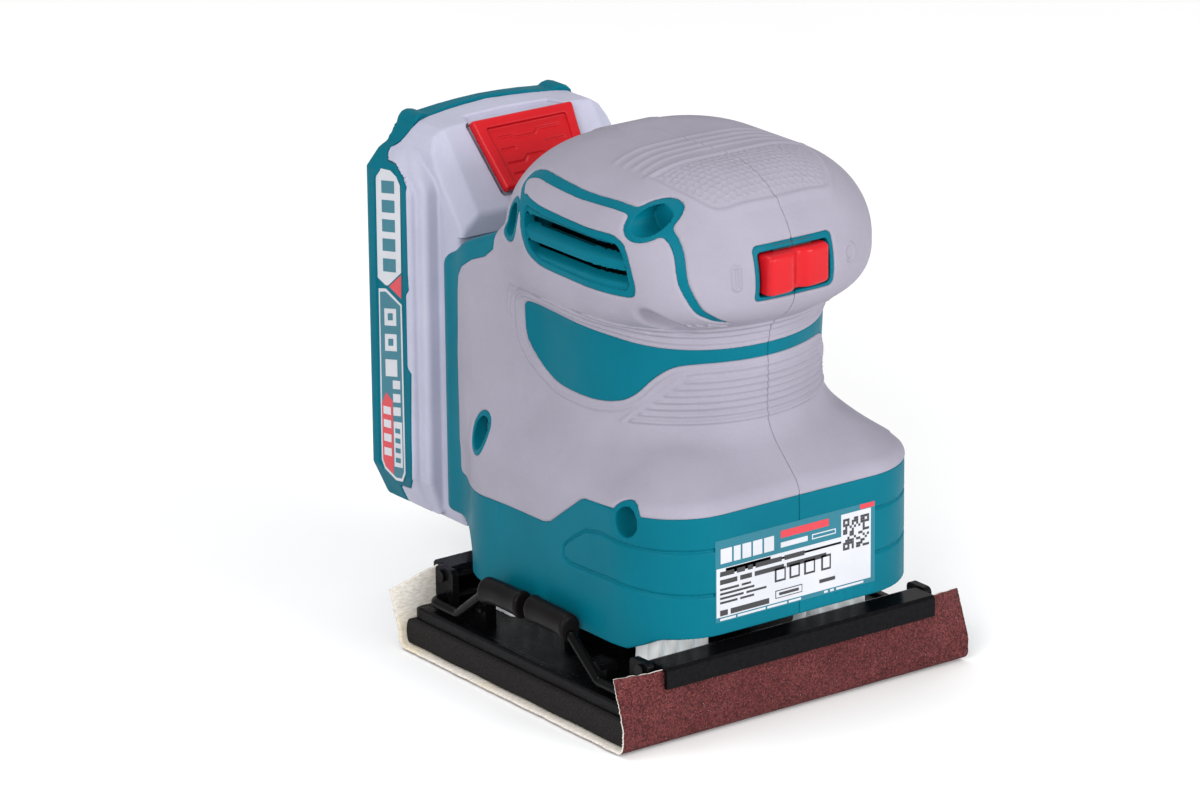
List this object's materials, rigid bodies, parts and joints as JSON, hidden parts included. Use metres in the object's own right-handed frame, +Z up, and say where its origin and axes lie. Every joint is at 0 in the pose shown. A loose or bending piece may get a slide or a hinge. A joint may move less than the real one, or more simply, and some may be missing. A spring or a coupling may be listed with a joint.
{
  "type": "orbital sander",
  "caption": "Cordless palm orbital sheet sander with a slide-on battery, rocker switch, flexing legs, wire clamp levers and a clamped abrasive sheet.",
  "frame": {"origin": "on the motor's axis, on the sanding face", "axes": "+Z up along the motor's axis, -Y the front with the switch, +Y the battery, -X the side with the clamp levers"},
  "size_m": [0.114, 0.1449, 0.1435],
  "materials": {
    "teal_plastic": "fine-grained moulded plastic",
    "grey_grip": "soft-touch moulded rubber, fine grain",
    "red_plastic": "satin moulded plastic",
    "battery_teal": "fine-grained moulded plastic",
    "battery_grey": "fine-grained moulded plastic",
    "label_film": "printed film, satin",
    "black_plate": "black powder coat, satin",
    "gloss_black": "black gloss enamel",
    "black_wire": "black dipped steel wire",
    "sleeve_rubber": "black rubber sleeve, matt",
    "pad_foam": "closed-cell foam rubber, matt",
    "abrasive_paper": "aluminium-oxide grit on cream paper",
    "white_plastic": "natural nylon, slightly translucent",
    "steel": "machined steel",
    "zinc_steel": "zinc-plated steel",
    "zinc_casting": "die-cast zinc",
    "black_plastic": "moulded nylon",
    "magnet": "ferrite, ground",
    "copper": "enamelled copper wire and copper segments",
    "brass_contact": "plated brass",
    "carbon": "pressed carbon",
    "wire_red": "insulated lead",
    "wire_black": "insulated lead",
    "cell_wrap": "shrink-wrapped cell",
    "nickel": "nickel strip",
    "board_green": "lacquered circuit board"
  },
  "bodies": {
    "housing": {"housing_left": "teal_plastic", "housing_right": "teal_plastic", "grip_left": "grey_grip", "grip_right": "grey_grip", "housing_screws": "zinc_steel", "rating_plate": "label_film", "terminal_block": "black_plastic", "terminal_blades": "brass_contact", "lead_red": "wire_red", "lead_black": "wire_black", "lead_switched": "wire_red", "switch_pin": "steel", "switch_body": "black_plastic", "motor_can": "steel", "motor_magnets": "magnet", "motor_end_cap": "black_plastic", "brushes": "carbon", "brush_springs": "steel", "upper_bearing": "steel", "lower_bearing": "steel", "leg_front_left": "white_plastic", "leg_rear_left": "white_plastic", "leg_front_right": "white_plastic", "leg_rear_right": "white_plastic"},
    "rotor": {"motor_shaft": "steel", "armature_core": "steel", "armature_windings": "copper", "commutator": "copper", "fan": "black_plastic", "eccentric": "zinc_casting", "eccentric_screw": "zinc_steel"},
    "platen": {"base_plate": "black_plate", "pad_bearing": "steel", "backing_pad": "pad_foam", "sandpaper": "abrasive_paper", "front_clamp_pin": "black_wire", "rear_clamp_pin": "black_wire"},
    "front_clamp": {"front_clamp_bar": "gloss_black"},
    "rear_clamp": {"rear_clamp_bar": "gloss_black"},
    "front_lever": {"front_lever_wire": "black_wire", "front_lever_grip": "sleeve_rubber"},
    "rear_lever": {"rear_lever_wire": "black_wire", "rear_lever_grip": "sleeve_rubber"},
    "rocker": {"switch_rocker": "red_plastic"},
    "battery": {"battery_rear_shell": "battery_teal", "battery_front_shell": "battery_grey", "battery_cells": "cell_wrap", "cell_holder": "black_plastic", "cell_strips": "nickel", "battery_board": "board_green", "battery_contacts": "brass_contact", "battery_labels": "label_film", "battery_screws": "zinc_steel"},
    "latch": {"latch_button": "red_plastic", "latch_spring": "steel"}
  },
  "joints": [
    {"name": "motor_spin", "type": "hinge", "parent": "housing", "child": "rotor", "pos_m": [0, 0, 0], "axis": [0, 0, 1], "continuous": true},
    {"name": "pad_orbit", "type": "hinge", "parent": "rotor", "child": "platen", "pos_m": [0, -0.0008, 0], "axis": [0, 0, 1], "continuous": true, "deforming": ["leg_front_left", "leg_rear_left", "leg_front_right", "leg_rear_right"]},
    {"name": "front_lever_swing", "type": "hinge", "parent": "platen", "child": "front_lever", "pos_m": [0, -0.0443, 0.0134], "axis": [1, 0, 0], "range_deg": [0, 110]},
    {"name": "rear_lever_swing", "type": "hinge", "parent": "platen", "child": "rear_lever", "pos_m": [0, 0.0427, 0.0134], "axis": [-1, 0, 0], "range_deg": [0, 110]},
    {"name": "front_clamp_swing", "type": "hinge", "parent": "platen", "child": "front_clamp", "pos_m": [0, -0.0452, 0.0195], "axis": [-1, 0, 0], "range_deg": [0, 20]},
    {"name": "rear_clamp_swing", "type": "hinge", "parent": "platen", "child": "rear_clamp", "pos_m": [0, 0.0436, 0.0195], "axis": [1, 0, 0], "range_deg": [0, 20]},
    {"name": "switch_rock", "type": "hinge", "parent": "housing", "child": "rocker", "pos_m": [0, -0.0465, 0.119], "axis": [0, 0, -1], "range_deg": [0, 12]},
    {"name": "battery_slide", "type": "slide", "parent": "housing", "child": "battery", "axis": [0, 0, 1], "range_m": [0, 0.075]},
    {"name": "latch_press", "type": "slide", "parent": "battery", "child": "latch", "axis": [0, 0.788, -0.6156], "range_m": [0, 0.0025], "stiffness_N_per_m": 800, "springref_m": -0.003, "deforming": ["latch_spring"]}
  ],
  "couplings": [
    {"joint": "pad_orbit", "follows": "motor_spin", "ratio": -1},
    {"joint": "front_clamp_swing", "follows": "front_lever_swing", "ratio": 0.18182},
    {"joint": "rear_clamp_swing", "follows": "rear_lever_swing", "ratio": 0.18182}
  ]
}
